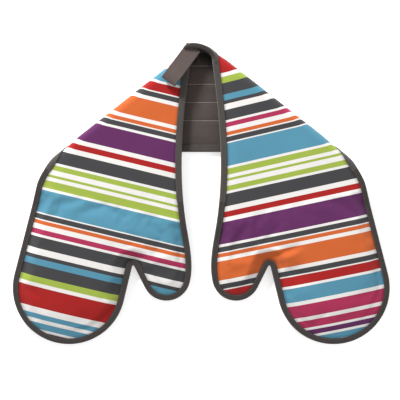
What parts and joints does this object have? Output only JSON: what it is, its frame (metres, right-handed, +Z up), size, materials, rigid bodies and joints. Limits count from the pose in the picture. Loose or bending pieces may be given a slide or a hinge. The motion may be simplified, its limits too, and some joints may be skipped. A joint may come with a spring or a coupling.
{
  "type": "double oven glove",
  "caption": "Long padded strip with a thumbed, pocketed mitt at each end, striped cloth outside and quilted lining inside, bound all round, with a tape loop to hang it by.",
  "frame": {"origin": "centre of the folded glove's bounding box in plan, on the surface it lies on", "axes": "+X to the right across both mitts, +Y from the fingertips towards the folded middle of the strip, +Z up from the surface"},
  "size_m": [0.5146, 0.4108, 0.0277],
  "materials": {
    "striped_print": "matte",
    "wadding": "matte",
    "lining": "matte",
    "binding_tape": "matte",
    "quilting_thread": "satin",
    "loop_tape": "matte"
  },
  "bodies": {
    "centre_pad": {"centre_print": "striped_print", "centre_wadding": "wadding", "centre_lining": "lining", "centre_top_binding": "binding_tape", "centre_hem_binding": "binding_tape", "centre_quilting_1": "quilting_thread", "centre_quilting_2": "quilting_thread", "centre_quilting_3": "quilting_thread", "centre_quilting_4": "quilting_thread"},
    "left_strap": {"left_strap_print": "striped_print", "left_strap_wadding": "wadding", "left_strap_lining": "lining", "left_strap_inner_binding": "binding_tape", "left_strap_outer_binding": "binding_tape", "left_strap_quilting_1": "quilting_thread", "left_strap_quilting_2": "quilting_thread", "left_strap_quilting_3": "quilting_thread", "left_strap_quilting_4": "quilting_thread"},
    "left_mitt": {"left_mitt_back_print": "striped_print", "left_mitt_back_wadding": "wadding", "left_mitt_back_lining": "lining", "left_mitt_palm_print": "striped_print", "left_mitt_palm_wadding": "wadding", "left_mitt_palm_lining": "lining", "left_mitt_edge_binding": "binding_tape", "left_mitt_mouth_binding": "binding_tape"},
    "right_strap": {"right_strap_print": "striped_print", "right_strap_wadding": "wadding", "right_strap_lining": "lining", "right_strap_inner_binding": "binding_tape", "right_strap_outer_binding": "binding_tape", "right_strap_quilting_1": "quilting_thread", "right_strap_quilting_2": "quilting_thread", "right_strap_quilting_3": "quilting_thread", "right_strap_quilting_4": "quilting_thread"},
    "right_mitt": {"right_mitt_back_print": "striped_print", "right_mitt_back_wadding": "wadding", "right_mitt_back_lining": "lining", "right_mitt_palm_print": "striped_print", "right_mitt_palm_wadding": "wadding", "right_mitt_palm_lining": "lining", "right_mitt_edge_binding": "binding_tape", "right_mitt_mouth_binding": "binding_tape"},
    "hanging_loop": {"hanging_loop": "loop_tape", "hanging_loop_bar_tack": "quilting_thread"}
  },
  "joints": [
    {"name": "left_fold", "type": "hinge", "parent": "centre_pad", "child": "left_strap", "pos_m": [-0.10333, 0.13, 0.00955], "axis": [-0.7853, -0.6191, 0], "range_deg": [0, 180]},
    {"name": "right_fold", "type": "hinge", "parent": "centre_pad", "child": "right_strap", "pos_m": [0.10333, 0.13, 0.00955], "axis": [-0.7853, 0.6191, 0], "range_deg": [0, 180]},
    {"name": "left_wrist", "type": "hinge", "parent": "left_strap", "child": "left_mitt", "pos_m": [-0.13384, 0.00294, 0.0164], "axis": [-0.9724, 0.2334, 0], "range_deg": [-45, 60]},
    {"name": "right_wrist", "type": "hinge", "parent": "right_strap", "child": "right_mitt", "pos_m": [0.13384, 0.00294, 0.0164], "axis": [-0.9724, -0.2334, 0], "range_deg": [-45, 60]},
    {"name": "loop_swing", "type": "hinge", "parent": "left_strap", "child": "hanging_loop", "pos_m": [-0.01, 0.199, 0.0231], "axis": [-0.8111, 0.585, 0], "range_deg": [0, 150]}
  ]
}
